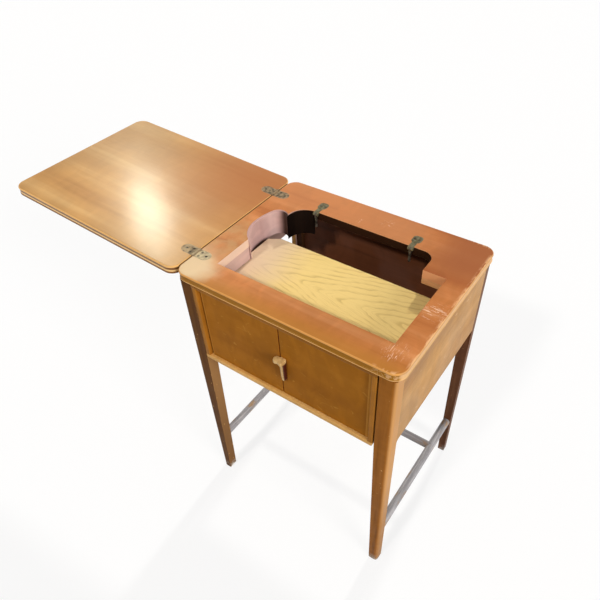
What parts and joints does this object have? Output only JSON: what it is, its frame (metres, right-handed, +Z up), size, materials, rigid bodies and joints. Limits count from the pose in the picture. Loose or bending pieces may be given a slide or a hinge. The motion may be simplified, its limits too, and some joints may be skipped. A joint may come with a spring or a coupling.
{
  "type": "sewing machine cabinet",
  "caption": "Small wooden table with a shaped machine well in its top, a lid that folds out sideways, a box with doors below, tapered legs and round stretchers.",
  "frame": {"origin": "on the floor, below the hinge line of the lid, at the middle of the depth", "axes": "+X along the width from the hinge line over the cabinet, +Y from the front (doors) to the back, +Z up"},
  "size_m": [1.0931, 0.443, 0.7922],
  "materials": {
    "top_veneer": "satin lacquered veneer, orange brown",
    "lid_veneer": "satin lacquered birch veneer",
    "door_veneer": "satin lacquered walnut-stained veneer",
    "side_veneer": "satin lacquered birch veneer",
    "front_leg_wood": "satin stained beech",
    "rear_leg_wood": "dark stained beech",
    "box_wood": "satin lacquered wood with light lipping",
    "inner_wood": "dark stained plywood",
    "plain_wood": "raw wood",
    "shelf_print": "pale oak printed foil, satin",
    "stretcher_paint": "wood with worn grey paint",
    "pull_wood": "light waxed wood",
    "hinge_brass": "dull, aged",
    "dark_steel": "dull, darkened"
  },
  "bodies": {
    "cabinet": {"top_board": "top_veneer", "wheel_lining": "inner_wood", "motor_lining": "inner_wood", "well_wall": "inner_wood", "doubler_right": "side_veneer", "doubler_rear": "inner_wood", "top_battens": "plain_wood", "side_panel_left": "side_veneer", "side_panel_right": "side_veneer", "back_panel": "inner_wood", "box_bottom": "box_wood", "box_end_left": "box_wood", "box_end_right": "box_wood", "box_rail": "box_wood", "box_cleats": "plain_wood", "shelf_board": "shelf_print", "leg_front_left": "front_leg_wood", "leg_front_right": "front_leg_wood", "leg_rear_left": "rear_leg_wood", "leg_rear_right": "rear_leg_wood", "stretcher_left": "stretcher_paint", "stretcher_right": "stretcher_paint", "stretcher_cross": "stretcher_paint", "door_pivot_pins": "dark_steel", "top_hinge_leaves": "hinge_brass", "top_hinge_pins": "dark_steel", "top_hinge_screws": "dark_steel", "head_hinge_plates": "hinge_brass", "head_hinge_pins": "dark_steel", "head_hinge_screws": "dark_steel"},
    "lid": {"lid_board": "lid_veneer", "lid_hinge_leaves": "hinge_brass", "lid_hinge_screws": "dark_steel"},
    "door_left": {"door_left": "door_veneer"},
    "door_right": {"door_right": "door_veneer", "door_pull": "pull_wood"},
    "head_arm_left": {"head_hinge_arm_left": "dark_steel"},
    "head_arm_right": {"head_hinge_arm_right": "dark_steel"}
  },
  "joints": [
    {"name": "lid_hinge", "type": "hinge", "parent": "cabinet", "child": "lid", "pos_m": [0, 0, 0.76025], "axis": [0, 1, 0], "range_deg": [0, 176.6]},
    {"name": "door_left_hinge", "type": "hinge", "parent": "cabinet", "child": "door_left", "pos_m": [0.0645, -0.2005, 0.6265], "axis": [0, 0, -1], "range_deg": [0, 90]},
    {"name": "door_right_hinge", "type": "hinge", "parent": "cabinet", "child": "door_right", "pos_m": [0.4795, -0.2005, 0.6265], "axis": [0, 0, 1], "range_deg": [0, 90]},
    {"name": "head_arm_left_hinge", "type": "hinge", "parent": "cabinet", "child": "head_arm_left", "pos_m": [0.1355, 0.1242, 0.7557], "axis": [-1, 0, 0], "range_deg": [0, 90]},
    {"name": "head_arm_right_hinge", "type": "hinge", "parent": "cabinet", "child": "head_arm_right", "pos_m": [0.3855, 0.1242, 0.7557], "axis": [-1, 0, 0], "range_deg": [0, 90]}
  ]
}
